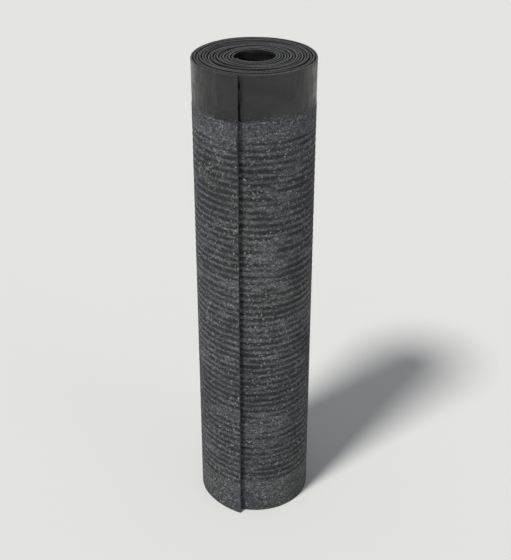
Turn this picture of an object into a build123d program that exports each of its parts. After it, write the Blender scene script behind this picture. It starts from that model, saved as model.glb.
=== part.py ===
from build123d import *

# A roll of mineral-faced bitumen roofing felt, standing on one end.
# One sheet, wound with its mineral face outwards, makes the whole roll.
# Z runs up the roll, from the mineral edge on the floor to the bare lap edge at the top.
# The origin is on the bore's axis, at floor level.

import os
from math import cos, degrees, pi, radians, sin
from typing import NamedTuple

# Driving dimensions of the sheet, in millimetres
SHEET_WIDTH = 1000.0
SHEET_LENGTH = 7500.0
SHEET_THICKNESS = 4.8
GRANULE_HEIGHT = 0.8
SELVEDGE_WIDTH = 90.0

# The slitting knife presses the mineral edge thinner, over this height
EDGE_THICKNESS = 4.0
EDGE_HEIGHT = 3.0

# Driving dimensions of the winding
BORE_DIAMETER = 76.0
TURN_SLACK = 0.5

# Each turn is round and then climbs on to the one below, over twice its climb angle.
# The climb is short over the sheet's inner end, and longer on every turn outside it.
FIRST_CLIMB_ANGLE = radians(30)
CLIMB_GROWTH = radians(5)
WIDEST_CLIMB_ANGLE = radians(170)

# The last stretch of the sheet stands a little off the roll, with its end at TAIL_DIRECTION,
# measured from +X towards +Y.
TAIL_LENGTH = 90.0
TAIL_RADIUS = 165.0
TAIL_DIRECTION = radians(245)

PITCH = SHEET_THICKNESS + TURN_SLACK
SELVEDGE_THICKNESS = SHEET_THICKNESS - GRANULE_HEIGHT
TURN = 2 * pi


def ray(angle):
    """The unit vector at an angle, in the plane of the roll's end."""
    return Vector(cos(angle), sin(angle))


class Arc(NamedTuple):
    """One stretch of the winding, which the sheet's inner face follows.

    Start and end are the angles of its normal, which count up along the whole winding.
    """

    centre: Vector
    radius: float
    start: float
    end: float

    def point(self, angle, offset):
        """The point at an angle, at a height above the sheet's inner face."""
        return self.centre + ray(angle) * (self.radius + offset)

    def length(self):
        """Length of the sheet's middle along this arc."""
        return (self.radius + SHEET_THICKNESS / 2) * (self.end - self.start)

    def edge(self, offset):
        """The arc at a height above the sheet's inner face."""
        middle = (self.start + self.end) / 2
        return ThreePointArc(*(self.point(a, offset) for a in (self.start, middle, self.end)))


def turn_arcs(number):
    """The three tangent arcs of one turn: round about the bore's axis, then up by one pitch."""
    radius = BORE_DIAMETER / 2 + number * PITCH
    climb = min(FIRST_CLIMB_ANGLE + number * CLIMB_GROWTH, WIDEST_CLIMB_ANGLE)
    shift = PITCH / (2 * (1 - cos(climb)))
    end = (number + 1) * TURN
    foot = end - 2 * climb
    crest = end - climb
    return [
        Arc(Vector(0, 0), radius, number * TURN, foot),
        Arc(ray(foot) * -shift, radius + shift, foot, crest),
        Arc(ray(end) * shift, radius + PITCH - shift, crest, end),
    ]


def wind(length):
    """The arcs of a sheet of this length, from its inner end."""
    arcs = []
    left = length
    number = 0
    while left > 0:
        for arc in turn_arcs(number):
            if left <= 0:
                break
            share = min(1.0, left / arc.length())
            arcs.append(arc._replace(end=arc.start + share * (arc.end - arc.start)))
            left -= arc.length()
        number += 1
    return arcs


def loosen(last_arc):
    """The arc of the loose tail, which leaves the winding where the last arc ends."""
    lift = last_arc.end
    centre = last_arc.point(lift, 0) - ray(lift) * TAIL_RADIUS
    sweep = TAIL_LENGTH / (TAIL_RADIUS + SHEET_THICKNESS / 2)
    return Arc(centre, TAIL_RADIUS, lift, lift + sweep)


def stretch(arcs, low, high):
    """The part of the winding between two angles."""
    inside = [a for a in arcs if a.start < high and a.end > low]
    return [a._replace(start=max(a.start, low), end=min(a.end, high)) for a in inside]


def edges_along(arcs, offset):
    """The arcs at a height above the sheet's inner face."""
    return [arc.edge(offset) for arc in arcs]


def bore_wire():
    """The inner face of the first turn, with the step of the sheet's inner end."""
    arcs = turn_arcs(0)
    step = Line(arcs[-1].point(arcs[-1].end, 0), arcs[0].point(0, 0))
    return Wire(edges_along(arcs, 0) + [step])


def outline_wire(winding, tail):
    """The last turn's outer face, round the tail and back under it to where it lifts."""
    last_turn = stretch(winding, tail.start - TURN, tail.start)
    root = Line(last_turn[0].point(tail.start - TURN, SHEET_THICKNESS), tail.point(tail.start, 0))
    tip = Line(tail.point(tail.end, 0), tail.point(tail.end, SHEET_THICKNESS))
    outer_face = edges_along(last_turn + [tail], SHEET_THICKNESS)
    return Wire(outer_face + [tip, tail.edge(0), root])


def closed_section(winding, tail):
    """The roll cut across where its turns lie on each other."""
    return Face(outline_wire(winding, tail), [bore_wire()])


def open_section(winding, tail, thickness):
    """The roll cut across where the sheet is thinner and a gap runs between its turns."""
    arcs = winding + [tail]
    first = arcs[0]
    inner_end = Line(first.point(first.start, 0), first.point(first.start, thickness))
    tip = Line(tail.point(tail.end, 0), tail.point(tail.end, thickness))
    return Face(Wire(edges_along(arcs, 0) + [tip] + edges_along(arcs, thickness) + [inner_end]))


def between(bottom, top, section):
    """A section drawn up the roll from one height to another."""
    return extrude(Pos(0, 0, bottom) * section, amount=top - bottom, dir=(0, 0, 1))


def felt_roll():
    """The wound sheet as one solid, with its turns showing on both ends."""
    winding = wind(SHEET_LENGTH - TAIL_LENGTH)
    tail = loosen(winding[-1])
    lap_line = SHEET_WIDTH - SELVEDGE_WIDTH

    mineral_edge = between(0, EDGE_HEIGHT, open_section(winding, tail, EDGE_THICKNESS))
    mineral_part = between(EDGE_HEIGHT, lap_line, closed_section(winding, tail))
    bare_part = between(lap_line, SHEET_WIDTH, open_section(winding, tail, SELVEDGE_THICKNESS))

    print("turns", round(tail.start / TURN, 2))
    return Rot(Z=degrees(TAIL_DIRECTION - tail.end)) * (mineral_edge + mineral_part + bare_part)


os.makedirs("parts", exist_ok=True)
export_step(felt_roll(), "parts/felt_roll.step")
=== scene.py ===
# %% [markdown]
# # A roll of mineral-faced roofing felt
# Roofing felt is a carrier mat soaked in bitumen, faced with crushed slate and pressed between ribbed
# rollers. It could be modelled as a cylinder with a picture of felt on it. Here it is made the way the
# mill makes it: the sheet's section is drawn once, run out to its real length, roughened while it is
# flat, and then wound up. That gives true turns at both ends, a loose end with a real thickness, and
# ribs that follow the sheet.

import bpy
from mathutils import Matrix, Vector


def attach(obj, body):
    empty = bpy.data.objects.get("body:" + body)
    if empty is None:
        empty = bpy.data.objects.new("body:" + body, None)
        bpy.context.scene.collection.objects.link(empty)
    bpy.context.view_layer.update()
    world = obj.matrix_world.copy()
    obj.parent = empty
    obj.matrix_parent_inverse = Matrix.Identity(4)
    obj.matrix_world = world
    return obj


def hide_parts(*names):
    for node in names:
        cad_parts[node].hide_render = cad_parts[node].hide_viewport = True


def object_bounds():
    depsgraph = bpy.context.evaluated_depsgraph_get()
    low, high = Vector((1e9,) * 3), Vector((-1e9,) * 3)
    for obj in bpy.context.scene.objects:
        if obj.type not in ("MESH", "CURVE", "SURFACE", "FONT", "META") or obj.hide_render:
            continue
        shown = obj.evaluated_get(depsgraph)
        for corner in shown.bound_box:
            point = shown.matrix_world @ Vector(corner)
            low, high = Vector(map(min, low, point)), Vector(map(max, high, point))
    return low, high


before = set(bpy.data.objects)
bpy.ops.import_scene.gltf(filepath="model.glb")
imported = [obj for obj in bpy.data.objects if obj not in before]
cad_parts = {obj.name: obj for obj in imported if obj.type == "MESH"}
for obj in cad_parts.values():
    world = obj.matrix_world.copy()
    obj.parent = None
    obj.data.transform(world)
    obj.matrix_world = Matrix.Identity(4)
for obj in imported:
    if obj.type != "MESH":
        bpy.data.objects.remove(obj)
cad_low, cad_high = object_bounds()
print("CAD box from", [round(c, 4) for c in cad_low], "to", [round(c, 4) for c in cad_high])

# %% Tools and units
import math
from collections import namedtuple

import bmesh
import bpy
from mathutils import Vector

MM = 0.001
TURN = 2 * math.pi
print("made with Blender", bpy.app.version_string)

# %% [markdown]
# ## The sheet and how it is wound
# These are the real sizes of the sheet, in metres. While it is flat, its length runs along X from the
# inner end, its width stands up Z, and its mineral face looks towards -Y, so that winding it only bends
# X into a spiral.

# %% Sizes of the sheet
SHEET_WIDTH = cad_high.z - cad_low.z
SHEET_LENGTH = 7500 * MM
SHEET_THICKNESS = 4.8 * MM
print("the sheet is", round(SHEET_LENGTH, 2), "m by", round(SHEET_WIDTH, 2), "m")

# %% Sizes of the winding
BORE_RADIUS = 38 * MM
TURN_SLACK = 0.5 * MM
PITCH = SHEET_THICKNESS + TURN_SLACK
# A turn climbs over two arcs of this angle. It grows with each turn, so the outer turns climb gently.
FIRST_CLIMB_ANGLE = math.radians(30)
CLIMB_GROWTH = math.radians(5)
WIDEST_CLIMB_ANGLE = math.radians(170)
print("a turn lies", round(PITCH / MM, 1), "mm outside the one before")

# %% [markdown]
# ## The winding path
# A wound sheet isn't a set of rings: each turn climbs on to the one below. The path is made of tangent
# arcs, a round stretch about the bore and two arcs that climb by one pitch, and its last arc swings off
# the roll as the loose end. A spiral by formula would be shorter to write, but its bore wouldn't be
# round, and a bar could not turn in it.

# %% Arcs of the winding
Arc = namedtuple("Arc", "centre radius start end")


def ray(angle):
    """The unit vector at an angle, in the plane of the roll's end."""
    return Vector((math.cos(angle), math.sin(angle)))


def turn_arcs(number):
    """The three arcs that the underside of one turn follows."""
    radius = BORE_RADIUS + number * PITCH
    climb = min(FIRST_CLIMB_ANGLE + number * CLIMB_GROWTH, WIDEST_CLIMB_ANGLE)
    shift = PITCH / (2 * (1 - math.cos(climb)))
    end = (number + 1) * TURN
    foot = end - 2 * climb
    crest = end - climb
    return [
        Arc(Vector((0, 0)), radius, number * TURN, foot),
        Arc(ray(foot) * -shift, radius + shift, foot, crest),
        Arc(ray(end) * shift, radius + PITCH - shift, crest, end),
    ]


def arc_length(arc):
    """Length of the sheet's middle along an arc."""
    return (arc.radius + SHEET_THICKNESS / 2) * (arc.end - arc.start)


first_turn = sum(arc_length(arc) for arc in turn_arcs(0))
print("the first turn takes", round(first_turn / MM), "mm of sheet")

# %% Wind and loosen
TAIL_LENGTH = 90 * MM
TAIL_RADIUS = 165 * MM


def wind(length):
    """The arcs that a sheet of this length takes, from its inner end."""
    arcs = []
    left = length
    number = 0
    while left > 0:
        for arc in turn_arcs(number):
            share = min(left / arc_length(arc), 1.0)
            if share > 0:
                arcs.append(arc._replace(end=arc.start + share * (arc.end - arc.start)))
            left -= arc_length(arc)
        number += 1
    return arcs


def loosen(last_arc, length):
    """The arc of a loose end of this length, which leaves the winding where the last arc ends."""
    centre = last_arc.centre + ray(last_arc.end) * (last_arc.radius - TAIL_RADIUS)
    swing = length / (TAIL_RADIUS + SHEET_THICKNESS / 2)
    return Arc(centre, TAIL_RADIUS, last_arc.end, last_arc.end + swing)


winding = wind(SHEET_LENGTH - TAIL_LENGTH)
tail = loosen(winding[-1], TAIL_LENGTH)
last_turn_length = TURN * (winding[-1].centre.length + winding[-1].radius)
print("turns:", round(tail.start / TURN, 2), "length of the last:", round(last_turn_length / MM), "mm")

# %% [markdown]
# The path is a curve object through points on those arcs, at the sheet's mid-thickness, so that winding
# neither stretches nor squeezes it. It is turned about the bore until the sheet ends where the CAD
# model's does. It runs on a little past the sheet's end, because a curve's own end has no direction.

# %% Winding path
TAIL_DIRECTION = math.radians(245)
PATH_STEP = math.radians(1.5)
PATH_RUN_ON = 30 * MM


def path_points(arcs):
    """Points on the arcs at the sheet's mid-thickness, a small step apart."""
    points = []
    for arc in arcs:
        steps = math.ceil((arc.end - arc.start) / PATH_STEP)
        for step in range(steps):
            angle = arc.start + (arc.end - arc.start) * step / steps
            points.append(arc.centre + ray(angle) * (arc.radius + SHEET_THICKNESS / 2))
    return points


def make_path(arcs, turned):
    """A flat curve through the arcs, turned about the bore's axis."""
    points = path_points(arcs)
    curve = bpy.data.curves.new("winding_path", "CURVE")
    curve.dimensions = "2D"
    spline = curve.splines.new("POLY")
    spline.points.add(len(points) - 1)
    for knot, point in zip(spline.points, points):
        x = point.x * math.cos(turned) - point.y * math.sin(turned)
        y = point.x * math.sin(turned) + point.y * math.cos(turned)
        knot.co = (x, y, 0, 1)
    path = bpy.data.objects.new("winding_path", curve)
    bpy.context.scene.collection.objects.link(path)
    return path


longer_tail = loosen(winding[-1], TAIL_LENGTH + PATH_RUN_ON)
winding_path = make_path(winding + [longer_tail], TAIL_DIRECTION - tail.end)
print("path points:", len(winding_path.data.splines[0].points))

# %% [markdown]
# ## Modelling tools
# Every piece starts as a plane and is shaped in edit mode. Edges and points are picked by their place,
# as one would click on them, after everything else has been deselected.


# %% Picking, pushing and cutting
def deselect_everything():
    """Leaves nothing selected and no object in edit mode."""
    if bpy.context.object and bpy.context.object.mode == "EDIT":
        bpy.ops.object.mode_set(mode="OBJECT")
    bpy.ops.object.select_all(action="DESELECT")


def pick(piece, test, kind="verts"):
    """Selects, in edit mode, only the points or edges whose middle passes a test."""
    bpy.ops.mesh.select_mode(type="VERT" if kind == "verts" else "EDGE")
    bpy.ops.mesh.select_all(action="DESELECT")
    mesh = bmesh.from_edit_mesh(piece.data)
    for part in getattr(mesh, kind):
        place = part.co if kind == "verts" else (part.verts[0].co + part.verts[1].co) / 2
        if test(place):
            part.select_set(True)
    mesh.select_flush_mode()
    bmesh.update_edit_mesh(piece.data)


def push_in(depth):
    """Moves what is selected on the outer face into the sheet."""
    bpy.ops.transform.translate(value=(0, depth, 0))


def cut_across(height):
    """Cuts the whole of the piece at a height."""
    bpy.ops.mesh.select_all(action="SELECT")
    bpy.ops.mesh.bisect(plane_co=(0, 0, height), plane_no=(0, 0, 1))


# %% [markdown]
# ## The sheet's section
# The real section comes off the calender: a flat back, a face of granules that stops at the lap line, a
# bare strip beside it that is one granule layer thinner, and edges that the slitting knives leave a
# little rounded. A section drawn once and run out sideways has the same shape all along, as the rollers
# give it.

# %% Section of the sheet
OUTER_FACE = -SHEET_THICKNESS / 2
GRANULE_HEIGHT = 0.8 * MM
SELVEDGE_WIDTH = 90 * MM
LAP_LINE = SHEET_WIDTH - SELVEDGE_WIDTH
STEP_RUN = 1.2 * MM
EDGE_ROUNDING = 0.7 * MM
MINERAL_EDGE_HEIGHT = 3 * MM
# The bare strip gets these rows of points too, because it is to sway.
SWAY_ROWS = [SHEET_WIDTH - 60 * MM, SHEET_WIDTH - 30 * MM, SHEET_WIDTH - 10 * MM]
TINY = 0.01 * MM


def on_outer_face(place):
    """Whether a place is on the mineral face, before anything is pushed in."""
    return place.y < OUTER_FACE + TINY


def draw_section(name, x):
    """The sheet cut across: one closed loop of edges, standing on its mineral edge at length x."""
    deselect_everything()
    middle = (x, 0, SHEET_WIDTH / 2)
    bpy.ops.mesh.primitive_plane_add(size=1, location=middle, rotation=(0, math.radians(90), 0))
    piece = bpy.context.object
    piece.name = name
    bpy.ops.object.transform_apply(location=True, rotation=True, scale=True)
    bpy.ops.object.mode_set(mode="EDIT")
    bpy.ops.mesh.select_all(action="SELECT")
    bpy.ops.transform.resize(value=(1, SHEET_THICKNESS, SHEET_WIDTH), center_override=middle)
    bpy.ops.mesh.delete(type="ONLY_FACE")
    for height in [MINERAL_EDGE_HEIGHT, LAP_LINE, LAP_LINE + STEP_RUN] + SWAY_ROWS:
        cut_across(height)
    pick(piece, lambda p: on_outer_face(p) and p.z > LAP_LINE + STEP_RUN / 2)
    push_in(GRANULE_HEIGHT)
    pick(piece, lambda p: on_outer_face(p) and p.z < MINERAL_EDGE_HEIGHT / 2)
    push_in(GRANULE_HEIGHT)
    pick(piece, lambda p: p.z < TINY or p.z > SHEET_WIDTH - TINY)
    bpy.ops.mesh.bevel(offset=EDGE_ROUNDING, segments=2, affect="VERTICES")
    return piece


print("the bare strip is", round((SHEET_THICKNESS - GRANULE_HEIGHT) / MM, 1), "mm thick")

# %% [markdown]
# The ribs run all along the mineral face, about 14 mm apart, but not on the smooth margin at the
# mineral edge, nor beside the lap line, where the next sheet is torched on. Crowns and valleys are
# about equally wide. The mineral edge of the section is divided evenly, and the points in the valleys
# are pushed in together.

# %% Ribs of the section
RIB_COUNT = 65
ROWS_PER_RIB = 6
RIB_PITCH = (LAP_LINE - MINERAL_EDGE_HEIGHT) / RIB_COUNT
ROW = RIB_PITCH / ROWS_PER_RIB
VALLEY_DEPTH = 1.3 * MM
VALLEY_PROFILE = (1.0, 0.7, 0.2)
SMOOTH_MARGIN = 80 * MM
SMOOTH_LAP_BAND = 40 * MM
print("ribs are", round(RIB_PITCH / MM, 2), "mm apart")


def has_ribs(height):
    """Whether the mineral face is ribbed at a height."""
    return SMOOTH_MARGIN < height < LAP_LINE - SMOOTH_LAP_BAND


def is_beside_valley(height, reach):
    """Whether a height is in the ribbed stretch and this far from the middle of the nearest valley."""
    ribs = (height - MINERAL_EDGE_HEIGHT) / RIB_PITCH
    away = abs(ribs - round(ribs)) * RIB_PITCH
    return has_ribs(height) and abs(away - reach) < ROW / 4


def add_ribs(piece):
    """Divides the section's mineral face into rows and pushes its valleys in."""
    for cuts in (RIB_COUNT - 1, ROWS_PER_RIB - 1):
        pick(piece, lambda p: on_outer_face(p) and MINERAL_EDGE_HEIGHT < p.z < LAP_LINE, "edges")
        bpy.ops.mesh.subdivide(number_cuts=cuts)
    for rows, share in enumerate(VALLEY_PROFILE):
        reach = rows * ROW
        pick(piece, lambda p: on_outer_face(p) and is_beside_valley(p.z, reach))
        push_in(share * VALLEY_DEPTH)


# %% [markdown]
# ## Running the sheet out
# A Screw modifier with no turn in it draws a section along a straight line in even steps, as the
# calender does. The last turn and the loose end are what shows, so they are one piece with fine
# columns. The turns below show only their edges and the bore, so they are a second piece with coarse
# columns, and it ends under the last turn.

# %% Run out the two stretches
COVERED = 25 * MM
OUTER_START = SHEET_LENGTH - TAIL_LENGTH - last_turn_length - COVERED
OUTER_COLUMN = 4.2 * MM
INNER_COLUMN = 7 * MM


def run_out(piece, length, column):
    """Draws the section along X over a length, in even columns, and closes both ends."""
    bpy.ops.object.mode_set(mode="OBJECT")
    start = piece.data.vertices[0].co.x
    sweep = piece.modifiers.new("run_out", "SCREW")
    sweep.axis = "X"
    sweep.angle = 0
    sweep.screw_offset = length
    sweep.steps = sweep.render_steps = round(length / column)
    bpy.ops.object.modifier_apply(modifier=sweep.name)
    bpy.ops.object.mode_set(mode="EDIT")
    for end in (start, start + length):
        pick(piece, lambda p: abs(p.x - end) < TINY)
        bpy.ops.mesh.edge_face_add()
    bpy.ops.mesh.select_all(action="SELECT")
    bpy.ops.mesh.normals_make_consistent(inside=False)
    bpy.ops.object.mode_set(mode="OBJECT")
    print(piece.name, "has", len(piece.data.polygons), "faces")


outer_turn = draw_section("outer_turn", OUTER_START)
add_ribs(outer_turn)
run_out(outer_turn, SHEET_LENGTH - OUTER_START, OUTER_COLUMN)
inner_turns = draw_section("inner_turns", 0)
run_out(inner_turns, OUTER_START, INNER_COLUMN)

# %% [markdown]
# ## Marking the flat sheet
# While the sheet is flat, its length and height are the best map of it: the granules, ribs and stains
# then stay on the sheet when it is wound. The map is in metres. The faces get their finishes now too,
# as it is easy to see here which are mineral face, bare strip, underside and cut edge.

# %% Map and finish slots
FINISHES = ["mineral face", "bare strip", "underside", "cut edge"]
# A face whose normal has less than this along Y is an edge of the sheet.
FACING = 0.5


def finish_of(face):
    """The number of the finish that a face of the flat sheet has."""
    if abs(face.normal.y) < FACING:
        return FINISHES.index("cut edge")
    if face.normal.y > 0:
        return FINISHES.index("underside")
    return FINISHES.index("mineral face" if face.center.z < LAP_LINE else "bare strip")


def mark_sheet(piece):
    """Maps the flat sheet by its length and height, and numbers its finishes."""
    mesh = piece.data
    felt_map = mesh.uv_layers.active
    felt_map.name = "felt"
    for corner, spot in zip(mesh.loops, felt_map.data):
        place = mesh.vertices[corner.vertex_index].co
        spot.uv = (place.x, place.z)
    for face in mesh.polygons:
        face.material_index = finish_of(face)


for piece in (outer_turn, inner_turns):
    mark_sheet(piece)
    numbers = [face.material_index for face in piece.data.polygons]
    print(piece.name, {name: numbers.count(number) for number, name in enumerate(FINISHES)})

# %% [markdown]
# ## Roughening the flat sheet
# Felt is never as even as its section. Granules fill some valleys, ribs wander, the top edges of the
# turns don't line up, and the loose end bows. Displace modifiers with cloud textures do this with no
# window and no chance: the same clouds every time. Each acts along one axis and on one group of points,
# so that every fault has its own strength.


# %% Displacing by clouds
def group_by(piece, name, weigh):
    """A group of points, with a weight from 0 to 1 that depends on their place."""
    group = piece.vertex_groups.new(name=name)
    for point in piece.data.vertices:
        weight = weigh(point.co)
        if weight > 0:
            group.add([point.index], min(weight, 1.0), "REPLACE")


def clouds(name, size, depth=2, contrast=1.0):
    """A cloud texture with patches of about this size."""
    texture = bpy.data.textures.new(name, "CLOUDS")
    texture.noise_scale = size
    texture.noise_depth = depth
    texture.contrast = contrast
    return texture


def displace(piece, group, axis, strength, texture=None, middle=0.0, stretch=(1, 1, 1)):
    """Moves a group of points along an axis, by clouds if there are any, and applies it."""
    bpy.context.view_layer.objects.active = piece
    mod = piece.modifiers.new("roughen", "DISPLACE")
    mod.vertex_group = group
    mod.direction = axis
    mod.strength = strength
    mod.mid_level = middle
    cloud_space = bpy.data.objects.new("cloud_space", None)
    cloud_space.scale = stretch
    bpy.context.scene.collection.objects.link(cloud_space)
    bpy.context.view_layer.update()
    if texture:
        mod.texture = texture
        mod.texture_coords = "OBJECT"
        mod.texture_coords_object = cloud_space
    bpy.ops.object.modifier_apply(modifier=mod.name)
    bpy.data.objects.remove(cloud_space)


# %% [markdown]
# The top edges of the turns sway in and out and drift up and down, because a bare strip is soft and no
# winder runs true. The drift is the same all through the thickness, so its clouds are stretched a long
# way across the sheet.

# %% Let the top edges sway
EDGE_SWAY = 1.0 * MM
EDGE_DRIFT = 4.5 * MM
THROUGH_SHEET = (1, 50, 50)


def top_share(place):
    """0 below the lap line, rising to 1 at the top edge."""
    return (place.z - LAP_LINE) / SELVEDGE_WIDTH


sway_clouds = clouds("edge_sway", 35 * MM, depth=1, contrast=1.5)
drift_clouds = clouds("edge_drift", 220 * MM, depth=1, contrast=1.6)
for piece in (outer_turn, inner_turns):
    group_by(piece, "top", top_share)
    displace(piece, "top", "Y", EDGE_SWAY, sway_clouds, middle=0.5)
    displace(piece, "top", "Z", EDGE_DRIFT, drift_clouds, middle=1.0, stretch=THROUGH_SHEET)
    print(piece.name, "is up to", round(max(point.co.z for point in piece.data.vertices), 4), "m high")

# %% [markdown]
# The rollers press some patches so weakly that the ribs nearly vanish, and granules fill the valleys in
# spots several times longer than they are wide. Both are made by lifting the valleys. The ribs also
# wander a little, and the crust of granules is never flat. The crust is sunk a little, so that its
# highest points stay inside the sheet's true thickness.

# %% Fill the valleys and raise the crust
WEAK_PATCH = 0.6 * MM
FILLED_SPOT = 0.7 * MM
CRUST = 0.3 * MM
CRUST_SUNK = 0.225 * MM
RIB_DRIFT = 2.2 * MM


def valley_share(place):
    """0 on the crowns of the ribs, 1 at the bottom of their valleys."""
    return (place.y - OUTER_FACE) / VALLEY_DEPTH if place.y < 0 and has_ribs(place.z) else 0


def mineral_share(place):
    """1 on the mineral face, its edge and the step at the lap line, 0 elsewhere."""
    return 1 if place.y < 0 and MINERAL_EDGE_HEIGHT / 2 < place.z < LAP_LINE + 2 * STEP_RUN else 0


group_by(outer_turn, "valleys", valley_share)
group_by(outer_turn, "mineral", mineral_share)
patch_clouds = clouds("weak_patches", 50 * MM, contrast=2.5)
spot_clouds = clouds("filled_spots", 11 * MM, contrast=3.0)
crust_clouds = clouds("crust", 6 * MM)
rib_clouds = clouds("rib_drift", 50 * MM, depth=1)
displace(outer_turn, "valleys", "Y", -WEAK_PATCH, patch_clouds, stretch=(2.5, 1, 1))
displace(outer_turn, "valleys", "Y", -FILLED_SPOT, spot_clouds, stretch=(4, 1, 1))
displace(outer_turn, "mineral", "Y", CRUST, crust_clouds, middle=-CRUST_SUNK / CRUST, stretch=(1.4, 1, 1))
displace(outer_turn, "mineral", "Z", RIB_DRIFT, rib_clouds, middle=0.5, stretch=(2, 1, 1))
print("the crust is up to", round((CRUST + CRUST_SUNK) / MM, 2), "mm below the sheet's full thickness")

# %% [markdown]
# Where each point lies in the thickness is kept with the mesh, for the finishes: the valleys get painted
# shade and the crowns painted light from it, and the carrier mat shows along the middle of a cut edge.
# The loose end is bowed only after that.


# %% Keep the depth
def keep_depth(piece):
    """Stores how far each point lies below the outer face, as a share of the thickness."""
    depths = piece.data.attributes.new("depth", "FLOAT", "POINT")
    for point, depth in zip(piece.data.vertices, depths.data):
        depth.value = (point.co.y - OUTER_FACE) / SHEET_THICKNESS


keep_depth(outer_turn)
keep_depth(inner_turns)
print("points with a depth:", len(outer_turn.data.vertices) + len(inner_turns.data.vertices))

# %% Bow and fray the loose end
TAIL_BOW = 2 * MM
TAIL_FRAY = 2.5 * MM


def tail_share(place):
    """0 where the loose end lifts, rising to 1 at its end, and most at mid-height."""
    along = (place.x - (SHEET_LENGTH - TAIL_LENGTH)) / TAIL_LENGTH
    up = 2 * place.z / SHEET_WIDTH - 1
    return max(along, 0) ** 2 * (1 - up * up)


group_by(outer_turn, "tail", tail_share)
group_by(outer_turn, "end", lambda p: p.x > SHEET_LENGTH - OUTER_COLUMN / 2)
displace(outer_turn, "tail", "Y", TAIL_BOW)
displace(outer_turn, "end", "X", -TAIL_FRAY, clouds("frayed_end", 30 * MM, depth=3))
print("the sheet now ends at", round(max(point.co.x for point in outer_turn.data.vertices), 4), "m")

# %% [markdown]
# ## Winding
# A Curve modifier carries the flat sheet along the path: X becomes the way along the spiral, and what
# stood towards -Y now faces out. It bends the sheet without cutting it, so the ribs and the map come
# with it.

# %% Wind the sheet
SMOOTH_BELOW = math.radians(42)


def wind_up(piece):
    """Winds a flat piece along the path, and smooths it but for its cut edges."""
    deselect_everything()
    piece.select_set(True)
    bpy.context.view_layer.objects.active = piece
    mod = piece.modifiers.new("wind", "CURVE")
    mod.object = winding_path
    mod.deform_axis = "POS_X"
    bpy.ops.object.modifier_apply(modifier=mod.name)
    bpy.ops.object.shade_smooth_by_angle(angle=SMOOTH_BELOW)
    piece.vertex_groups.clear()


for piece in (outer_turn, inner_turns):
    wind_up(piece)
    widest = max(math.hypot(point.co.x, point.co.y) for point in piece.data.vertices)
    print(piece.name, "reaches", round(widest / MM, 1), "mm from the bore's axis")
bpy.data.objects.remove(winding_path)

# %% [markdown]
# ## Finishes
# All colours are given as the eye sees them on a screen, and turned to the linear values that a shader
# works in. One helper adds any node: its settings, what goes into it, and which of its outputs to hand
# on.


# %% Colours and nodes
def linear(hex_colour):
    """A screen colour as linear red, green, blue and alpha."""
    shares = [int(hex_colour[i:i + 2], 16) / 255 for i in (1, 3, 5)]
    return [s / 12.92 if s <= 0.04045 else ((s + 0.055) / 1.055) ** 2.4 for s in shares] + [1.0]


def add_node(tree, kind, settings, inputs, output=None):
    """Adds a shader node, sets or links its inputs by their identifiers, and returns one output."""
    node = tree.nodes.new("ShaderNode" + kind)
    for name, value in settings.items():
        setattr(node, name, value)
    sockets = {socket.identifier: socket for socket in node.inputs}
    for name, value in inputs.items():
        if isinstance(value, bpy.types.NodeSocket):
            tree.links.new(value, sockets[name])
        else:
            sockets[name].default_value = value
    wanted = [socket for socket in node.outputs if output in (None, socket.identifier)]
    return wanted[0] if wanted else None


def start_finish(name):
    """An empty material and its node tree."""
    finish = bpy.data.materials.new(name)
    finish.use_nodes = True
    finish.node_tree.nodes.clear()
    return finish, finish.node_tree


def close_finish(tree, look):
    """The shader with this look, joined to the material's output."""
    surface = add_node(tree, "BsdfPrincipled", {}, look)
    add_node(tree, "OutputMaterial", {}, {"Surface": surface})


print("a middle grey on a screen is", round(linear("#808080")[0], 2), "of white in linear light")

# %% [markdown]
# Each finish is a base colour times a tone. The tone is multiplied by layers, and each layer is a
# pattern whose values are spread from a least to a most. Layers of noise at the real sizes of grit,
# streaks and stains do what no single noise can.

# %% Layers of tone
FELT_MAP = {"uv_map": "felt"}
MIX = {"data_type": "RGBA"}
TIMES = {"data_type": "RGBA", "blend_type": "MULTIPLY"}
NOISE_LOW = 0.3
NOISE_HIGH = 0.7
NOISE_ROUGHNESS = 0.6
Layer = namedtuple("Layer", "pattern low high first last")
Noise = namedtuple("Noise", "space size detail least most")


def layer_tones(tree, tone, layers):
    """Multiplies a tone by layers: as a pattern goes from low to high, the factor goes first to last."""
    for pattern, low, high, first, last in layers:
        ends = {"Value": pattern, "From Min": low, "From Max": high, "To Min": first, "To Max": last}
        factor = add_node(tree, "MapRange", {"interpolation_type": "SMOOTHSTEP"}, ends)
        tone = add_node(tree, "Math", {"operation": "MULTIPLY"}, {"Value": tone, "Value_001": factor})
    return tone


def layer_noises(tree, tone, noises):
    """Multiplies a tone by noises with patches of a real size, whose factors go from least to most."""
    for space, size, detail, least, most in noises:
        values = {"Vector": space, "Scale": 1 / size, "Detail": detail, "Roughness": NOISE_ROUGHNESS}
        pattern = add_node(tree, "TexNoise", {}, values)
        tone = layer_tones(tree, tone, [Layer(pattern, NOISE_LOW, NOISE_HIGH, least, most)])
    return tone


def away_from(tree, value, middle):
    """How far a value is from a middle, either way."""
    offset = add_node(tree, "Math", {"operation": "SUBTRACT"}, {"Value": value, "Value_001": middle})
    return add_node(tree, "Math", {"operation": "ABSOLUTE"}, {"Value": offset})


# %% [markdown]
# ### Slate flakes
# Crushed slate is sieved to about 1 to 2 mm and pressed into hot bitumen, so the eye sees small flat
# flakes, each with its own grey and its own lean, and dark bitumen between them. A grain of noise would
# only give a grey haze. Here each cell of a cellular pattern is one flake. Its edges are made ragged by
# a fine noise, and flakes are drawn 2.3 mm wide, because finer ones would average out to a flat grey in
# the picture.

# %% Lay the flakes
FLAKE = 2.3 * MM
RAGGED_BY = 3 * MM
RAGGED_AT = 2.2 * MM
# Distances from a flake's rim are shares of its width.
RIM = 0.2
RIM_DROP = 0.25 * FLAKE
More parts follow.
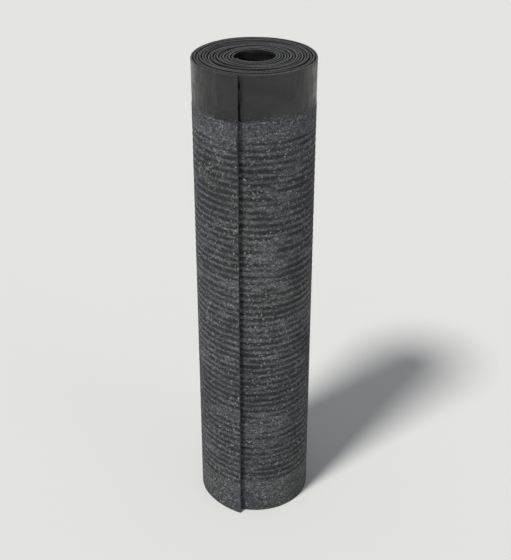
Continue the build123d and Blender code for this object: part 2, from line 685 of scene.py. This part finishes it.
# Luck goes from 0 to 1, so this is the middle of it.
EVEN_LUCK = (0.5, 0.5, 0.5)
FLAKE_CELLS = {"voronoi_dimensions": "2D"}
FLAKE_RIMS = {"voronoi_dimensions": "2D", "feature": "DISTANCE_TO_EDGE"}
Flakes = namedtuple("Flakes", "space luck from_rim")


def lay_flakes(tree, where):
    """Ragged cells as flakes: their space, a colour of luck for each, and the distance from its rim."""
    fine = {"Vector": where, "Scale": 1 / RAGGED_AT, "Detail": 2}
    wobble = add_node(tree, "TexNoise", {}, fine, "Color")
    ragging = {"Vector": wobble, "Vector_001": (RAGGED_BY, RAGGED_BY, 0), "Vector_002": where}
    space = add_node(tree, "VectorMath", {"operation": "MULTIPLY_ADD"}, ragging)
    cells = {"Vector": space, "Scale": 1 / FLAKE}
    luck = add_node(tree, "TexVoronoi", FLAKE_CELLS, cells, "Color")
    from_rim = add_node(tree, "TexVoronoi", FLAKE_RIMS, cells)
    return Flakes(space, luck, from_rim)


def lean_flakes(tree, flakes):
    """The height of a crust in which each flake leans its own way and drops at its rim, in metres."""
    across = {"Vector": flakes.space, "Vector_001": flakes.luck.node.outputs["Position"]}
    from_middle = add_node(tree, "VectorMath", {"operation": "SUBTRACT"}, across)
    either_way = {"Vector": flakes.luck, "Vector_001": EVEN_LUCK}
    slope = add_node(tree, "VectorMath", {"operation": "SUBTRACT"}, either_way)
    leaning = {"Vector": from_middle, "Vector_001": slope}
    lean = add_node(tree, "VectorMath", {"operation": "DOT_PRODUCT"}, leaning, "Value")
    drop = layer_tones(tree, 1.0, [Layer(flakes.from_rim, low=0, high=RIM, first=-RIM_DROP, last=0)])
    return add_node(tree, "Math", {"operation": "ADD"}, {"Value": lean, "Value_001": drop})


print("flakes are drawn", round(FLAKE / MM, 1), "mm wide")

# %% [markdown]
# ### Mineral face
# The slate is a matt bluish grey, in places more neutral. The tone of the face is built up in layers:
# the greys of the flakes, bitumen between them, painted shade that darkens the valleys of the ribs and
# painted light that makes their crowns paler, streaks along the sheet, short beads where flakes lie thick
# on a crown, wide shades, and bands across the width, which are the darker margins and the paler middle
# of the sheet.

# %% Tone of the mineral face
DARKEST_FLAKE = 0.5
LIGHTEST_FLAKE = 1.52
BITUMEN_TONE = 0.7
FLAKE_TONE = 1.15
BITUMEN_REACH = 0.25
# Painted light on the crowns of the ribs and painted shade in their valleys, set by depth.
CROWN_PAINTED_LIGHT = 1.27
VALLEY_PAINTED_SHADE = 0.28
# A crown ends at the first of these depths and a valley's floor begins at the second, as shares of the
# thickness.
SHALLOW = 0.05 * VALLEY_DEPTH / SHEET_THICKNESS
DEEP = 0.75 * VALLEY_DEPTH / SHEET_THICKNESS
STREAK = 6 * MM
STREAK_STRETCH = (0.1, 1, 1)
BEAD = 4.2 * MM
BEAD_STRETCH = (0.5, 1, 1)
SHADE = 90 * MM
Band = namedtuple("Band", "height reach tone")
BANDS = [
    Band(height=0, reach=115 * MM, tone=0.6),
    Band(height=310 * MM, reach=60 * MM, tone=0.84),
    Band(height=520 * MM, reach=200 * MM, tone=1.2),
    Band(height=LAP_LINE, reach=60 * MM, tone=0.78),
]


def slate_tone(tree, where, flakes):
    """The tone of the mineral face, from its flakes to its bands, with painted shade in the valleys and
    painted light on the crowns.
    """
    grey_luck = add_node(tree, "SeparateXYZ", {}, {"Vector": flakes.luck}, "Z")
    depth = add_node(tree, "Attribute", {"attribute_name": "depth"}, {}, "Fac")
    height = add_node(tree, "SeparateXYZ", {}, {"Vector": where}, "Y")
    streaks = add_node(tree, "Mapping", {}, {"Vector": where, "Scale": STREAK_STRETCH})
    beads = add_node(tree, "Mapping", {}, {"Vector": where, "Scale": BEAD_STRETCH})
    tone = layer_tones(tree, 1.0, [
        Layer(grey_luck, low=0, high=1, first=DARKEST_FLAKE, last=LIGHTEST_FLAKE),
        Layer(flakes.from_rim, low=0, high=BITUMEN_REACH, first=BITUMEN_TONE, last=FLAKE_TONE),
        # Painted shade: the deeper a point lies in a valley, the darker it is painted, and the crowns are
        # painted paler.
        Layer(depth, low=SHALLOW, high=DEEP, first=CROWN_PAINTED_LIGHT, last=VALLEY_PAINTED_SHADE),
    ])
    tone = layer_noises(tree, tone, [
        Noise(streaks, size=STREAK, detail=2, least=0.8, most=1.22),
        Noise(beads, size=BEAD, detail=2, least=0.66, most=1.42),
        Noise(where, size=SHADE, detail=3, least=0.82, most=1.18),
    ])
    for band in BANDS:
        away = away_from(tree, height, band.height)
        tone = layer_tones(tree, tone, [Layer(away, low=0, high=band.reach, first=band.tone, last=1)])
    return tone


print("bands across the sheet at", [round(band.height, 2) for band in BANDS], "m")

# %% [markdown]
# A few flakes in a hundred are pale, and they lie in loose groups, as the hopper sheds them. How many
# are pale changes over about 60 mm, and the luckiest flakes of a group are the palest.

# %% Slate granules
SLATE_COOL = "#56585d"
SLATE_WARM = "#58595a"
STAIN = 120 * MM
WARM_FROM = 0.36
WARM_TO = 0.64
PALE_FLAKE = "#9a9b9a"
PALE_GROUP = 60 * MM
MOST_PALE_FLAKES = 0.12
# The flakes lean a little more than real ones, so that it shows.
FLAKE_LEAN = 1.4
SLATE_ROUGHNESS = 0.93
SLATE_IOR = 1.5


def slate_face():
    """Slate granules pressed into bitumen: matt and rough, bluish grey, with a few pale flakes."""
    finish, tree = start_finish("slate_granules_on_bitumen")
    where = add_node(tree, "UVMap", FELT_MAP, {})
    flakes = lay_flakes(tree, where)

    stain = add_node(tree, "TexNoise", {}, {"Vector": where, "Scale": 1 / STAIN, "Detail": 3})
    warmth = layer_tones(tree, 1.0, [Layer(stain, low=WARM_FROM, high=WARM_TO, first=0, last=1)])
    tinting = {"Factor_Float": warmth, "A_Color": linear(SLATE_COOL), "B_Color": linear(SLATE_WARM)}
    slate = add_node(tree, "Mix", MIX, tinting, "Result_Color")
    toning = {"Factor_Float": 1.0, "A_Color": slate, "B_Color": slate_tone(tree, where, flakes)}
    toned = add_node(tree, "Mix", TIMES, toning, "Result_Color")

    pale_luck = add_node(tree, "SeparateXYZ", {}, {"Vector": flakes.luck}, "Y")
    groups = Noise(where, size=PALE_GROUP, detail=2, least=0, most=MOST_PALE_FLAKES)
    pale_share = layer_noises(tree, 1.0, [groups])
    paleness = layer_tones(tree, 1.0, [Layer(pale_luck, low=0, high=pale_share, first=1, last=0)])
    flecking = {"Factor_Float": paleness, "A_Color": toned, "B_Color": linear(PALE_FLAKE)}
    colour = add_node(tree, "Mix", MIX, flecking, "Result_Color")
    crust = {"Height": lean_flakes(tree, flakes), "Strength": 1.0, "Distance": FLAKE_LEAN}
    relief = add_node(tree, "Bump", {}, crust)
    look = {"Base Color": colour, "Roughness": SLATE_ROUGHNESS, "IOR": SLATE_IOR, "Normal": relief}
    close_finish(tree, look)
    return finish


mineral_finish = slate_face()
print(mineral_finish.name, "has", len(mineral_finish.node_tree.nodes), "nodes")

# %% [markdown]
# ### Bare strip and underside
# Where the next sheet laps over, there is no slate: smooth bitumen under a thin film that burns off in
# laying. The underside has the same film. Both are nearly black with a soft sheen, and the film's
# wrinkles and a haze of dust break the sheen up. Near the lap line some stray flakes stick to the
# strip. A sharp line of colour would be simpler, but the hopper never stops its granules so cleanly.

# %% Stray flakes
STRAY_FLAKE = "#4a4b4f"
STRAY_REACH = 11 * MM
# A stray flake fades in between these distances from its rim.
STRAY_RIM = 0.04
STRAY_BODY = 0.16


def strew_flakes(tree, where):
    """How much of a stray flake covers the film: all at the lap line, thinning out over a short reach."""
    flakes = lay_flakes(tree, where)
    height = add_node(tree, "SeparateXYZ", {}, {"Vector": where}, "Y")
    luck = add_node(tree, "SeparateXYZ", {}, {"Vector": flakes.luck}, "Z")
    thinning = Layer(height, low=LAP_LINE - STRAY_REACH, high=LAP_LINE + STRAY_REACH, first=1, last=0)
    share = layer_tones(tree, 1.0, [thinning])
    stray = add_node(tree, "Math", {"operation": "LESS_THAN"}, {"Value": luck, "Value_001": share})
    fading = Layer(flakes.from_rim, low=STRAY_RIM, high=STRAY_BODY, first=0, last=1)
    return layer_tones(tree, stray, [fading])


print("flakes stray up to", round(STRAY_REACH / MM), "mm past the lap line")

# %% Film over bitumen
BARE_BITUMEN = "#121213"
DUST_HAZE = "#363635"
STRIP_DUST = 0.45
UNDERSIDE_DUST = 0.25
FILM_ROUGHNESS = 0.33
FILM_IOR = 1.5
SMEAR = 25 * MM
SMEAR_STRETCH = (0.3, 1, 1)
GRIT = 4 * MM
WRINKLE = 14 * MM
WRINKLE_STRETCH = (1, 0.35, 1)
WRINKLE_HEIGHT = 3 * MM
# A stray flake stands as high as this share of a wrinkle.
STRAY_HEIGHT = 0.25


def film_face(name, dustiest):
    """Bitumen under film: near black, its sheen broken by wrinkles, dust and stray flakes."""
    finish, tree = start_finish(name)
    where = add_node(tree, "UVMap", FELT_MAP, {})
    stray = strew_flakes(tree, where)

    smears = add_node(tree, "Mapping", {}, {"Vector": where, "Scale": SMEAR_STRETCH})
    dust = layer_noises(tree, dustiest, [
        Noise(smears, size=SMEAR, detail=5, least=0, most=1),
        Noise(where, size=GRIT, detail=3, least=0.5, most=1),
    ])
    hazing = {"Factor_Float": dust, "A_Color": linear(BARE_BITUMEN), "B_Color": linear(DUST_HAZE)}
    hazed = add_node(tree, "Mix", MIX, hazing, "Result_Color")
    strewing = {"Factor_Float": stray, "A_Color": hazed, "B_Color": linear(STRAY_FLAKE)}
    colour = add_node(tree, "Mix", MIX, strewing, "Result_Color")
    roughness = layer_noises(tree, FILM_ROUGHNESS, [
        Noise(smears, size=SMEAR, detail=5, least=0.7, most=1.5),
        Noise(where, size=GRIT, detail=3, least=0.9, most=1.15),
    ])

    stretched = add_node(tree, "Mapping", {}, {"Vector": where, "Scale": WRINKLE_STRETCH})
    wrinkles = add_node(tree, "TexNoise", {}, {"Vector": stretched, "Scale": 1 / WRINKLE, "Detail": 4})
    raising = {"Value": stray, "Value_001": STRAY_HEIGHT, "Value_002": wrinkles}
    raised = add_node(tree, "Math", {"operation": "MULTIPLY_ADD"}, raising)
    relief = add_node(tree, "Bump", {}, {"Height": raised, "Strength": 1.0, "Distance": WRINKLE_HEIGHT})
    look = {"Base Color": colour, "Roughness": roughness, "IOR": FILM_IOR, "Normal": relief}
    close_finish(tree, look)
    return finish


strip_finish = film_face("bare_bitumen_under_film", STRIP_DUST)
underside_finish = film_face("film_backed_underside", UNDERSIDE_DUST)
for finish in (strip_finish, underside_finish):
    print(finish.name, "has", len(finish.node_tree.nodes), "nodes")

# %% [markdown]
# ### Cut edge
# A knife slits the sheet to width while it is warm. It leaves a dull face of bitumen with drag marks,
# and the polyester mat that carries the sheet shows in its middle as a paler line. The line is drawn
# wider than the real mat, or it would be lost in the picture.

# %% Knife-cut bitumen
CUT_BITUMEN = "#2b2b2d"
CARRIER_MAT = "#5a5955"
CUT_ROUGHNESS = 0.68
CUT_IOR = 1.5
# The mat's place in the thickness, and how far from there it is whole and where it ends.
MAT_MIDDLE = 0.55
MAT_CORE = 0.06
MAT_REACH = 0.2
MAT_PATCH = 12 * MM
CUT_SHADE = 160 * MM
CUT_GRAIN = 5 * MM
DRAG_MARK = 3 * MM
DRAG_HEIGHT = 0.8 * MM
DRAG_STRENGTH = 0.6


def cut_face():
    """Bitumen cut with a knife: dull, uneven from turn to turn, with the carrier mat along its middle."""
    finish, tree = start_finish("knife_cut_bitumen")
    where = add_node(tree, "UVMap", FELT_MAP, {})
    depth = add_node(tree, "Attribute", {"attribute_name": "depth"}, {}, "Fac")
    away = away_from(tree, depth, MAT_MIDDLE)
    mat = layer_tones(tree, 1.0, [Layer(away, low=MAT_CORE, high=MAT_REACH, first=1, last=0)])
    mat = layer_noises(tree, mat, [Noise(where, size=MAT_PATCH, detail=3, least=0.35, most=1)])
    bedding = {"Factor_Float": mat, "A_Color": linear(CUT_BITUMEN), "B_Color": linear(CARRIER_MAT)}
    bedded = add_node(tree, "Mix", MIX, bedding, "Result_Color")

    tone = layer_noises(tree, 1.0, [
        Noise(where, size=CUT_SHADE, detail=2, least=0.7, most=1.35),
        Noise(where, size=CUT_GRAIN, detail=4, least=0.6, most=1.5),
    ])
    toning = {"Factor_Float": 1.0, "A_Color": bedded, "B_Color": tone}
    colour = add_node(tree, "Mix", TIMES, toning, "Result_Color")
    drag = add_node(tree, "TexNoise", {}, {"Vector": where, "Scale": 1 / DRAG_MARK, "Detail": 3})
    dragging = {"Height": drag, "Strength": DRAG_STRENGTH, "Distance": DRAG_HEIGHT}
    relief = add_node(tree, "Bump", {}, dragging)
    look = {"Base Color": colour, "Roughness": CUT_ROUGHNESS, "IOR": CUT_IOR, "Normal": relief}
    close_finish(tree, look)
    return finish


edge_finish = cut_face()
print(edge_finish.name, "has", len(edge_finish.node_tree.nodes), "nodes")

# %% [markdown]
# ## Dressing the roll
# Both pieces get the same four finishes, in the order of their numbers. Both stand for the one solid of
# the CAD model, since they are one sheet: only the fineness of the mesh changes where they meet, out of
# sight.

# %% Dress the roll
for piece in (outer_turn, inner_turns):
    for finish in (mineral_finish, strip_finish, underside_finish, edge_finish):
        piece.data.materials.append(finish)
    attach(piece, "root")
    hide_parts("felt_roll")
    print(piece.name, "wears", [finish.name for finish in piece.data.materials])

# %% [markdown]
# ## Floor, light and camera
# A plain pale floor shows the dark roll's outline and takes its shadow. It is a single plane, so large
# that its edge lies at the horizon. It has no gloss at all, because a shine seen at a low angle would
# make its far part paler than the near part.

# %% Floor
FLOOR_SIZE = 600
FLOOR_COLOUR = "#d4d3cf"
FLOOR_ROUGHNESS = 0.9
deselect_everything()
bpy.ops.mesh.primitive_plane_add(size=FLOOR_SIZE)
floor = bpy.context.object
floor.name = "floor"
floor_paint, floor_tree = start_finish("pale_matt_floor")
floor_look = {"Base Color": linear(FLOOR_COLOUR), "Roughness": FLOOR_ROUGHNESS, "Specular IOR Level": 0}
close_finish(floor_tree, floor_look)
floor.data.materials.append(floor_paint)
print("floor at z", floor.location.z)

# %% [markdown]
# Slate granules are matt, so their ribs show only where light rakes across them. A wide soft sun from
# the upper left does that, and a weak and very wide light from the right keeps the far side from going
# black. Both lights are of the sun kind, because a lamp near the roll would leave a bright pool on the
# floor.


# %% Lights
def set_up(name, data, place, target):
    """An object with this data, at a place and turned towards a target."""
    thing = bpy.data.objects.new(name, data)
    thing.location = place
    thing.rotation_euler = (target - place).to_track_quat("-Z", "Y").to_euler()
    bpy.context.scene.collection.objects.link(thing)
    return thing


def shine(name, bearing, height, energy, width):
    """A light of the sun kind. Its bearing from +X, its height and how wide it looks are in degrees."""
    light = bpy.data.lights.new(name, "SUN")
    light.energy = energy
    light.angle = math.radians(width)
    along_floor = ray(math.radians(bearing))
    towards = Vector((along_floor.x, along_floor.y, math.tan(math.radians(height))))
    set_up(name, light, towards, Vector((0, 0, 0)))
    print(name, "shines from", [round(c, 2) for c in towards.normalized()])


shine("soft_sun", bearing=228, height=57, energy=3.2, width=11)
shine("side_light", bearing=323.5, height=10, energy=0.34, width=36)

# %% [markdown]
# The sky fills the shadows. Behind the floor it starts in the floor's own colour, as a studio's curved
# backdrop does, so no edge shows behind the roll from any side, and it soon fades to the grey that gives
# the weak fill light. An even sky would either show that edge or wash the ribs out.

# %% Sky
BACKDROP = "#e4e4e2"
SKY_ABOVE = "#94979d"
BACKDROP_HEIGHT = math.sin(math.radians(15))
sky = bpy.data.worlds.new("studio_sky")
sky.use_nodes = True
sky_tree = sky.node_tree
sky_tree.nodes.clear()
direction = add_node(sky_tree, "TexCoord", {}, {}, "Generated")
height = add_node(sky_tree, "SeparateXYZ", {}, {"Vector": direction}, "Z")
share = layer_tones(sky_tree, 1.0, [Layer(height, low=0, high=BACKDROP_HEIGHT, first=0, last=1)])
fading = {"Factor_Float": share, "A_Color": linear(BACKDROP), "B_Color": linear(SKY_ABOVE)}
sky_colour = add_node(sky_tree, "Mix", MIX, fading, "Result_Color")
background = add_node(sky_tree, "Background", {}, {"Color": sky_colour})
add_node(sky_tree, "OutputWorld", {}, {"Surface": background})
bpy.context.scene.world = sky
bpy.context.scene.view_settings.view_transform = "Standard"
print(sky.name, "has", len(sky_tree.nodes), "nodes")

# %% [markdown]
# The camera looks down on the roll as steeply as the photograph looks on its nearest felt, from a
# little over two metres away, and the roll nearly fills the height of the frame. It sees as far as the
# floor reaches, or a view from lower down would end in a false edge.

# %% Camera
LOOK_DOWN = math.radians(29)
DISTANCE = 2.2
AIM_HEIGHT = 0.52
FOCAL_LENGTH = 68
aim = Vector((0, 0, AIM_HEIGHT))
lens = bpy.data.cameras.new("camera")
lens.lens = FOCAL_LENGTH
lens.clip_end = FLOOR_SIZE
stand = aim + Vector((0, -math.cos(LOOK_DOWN), math.sin(LOOK_DOWN))) * DISTANCE
bpy.context.scene.camera = set_up("camera", lens, stand, aim)
print("camera at", [round(c, 2) for c in stand])
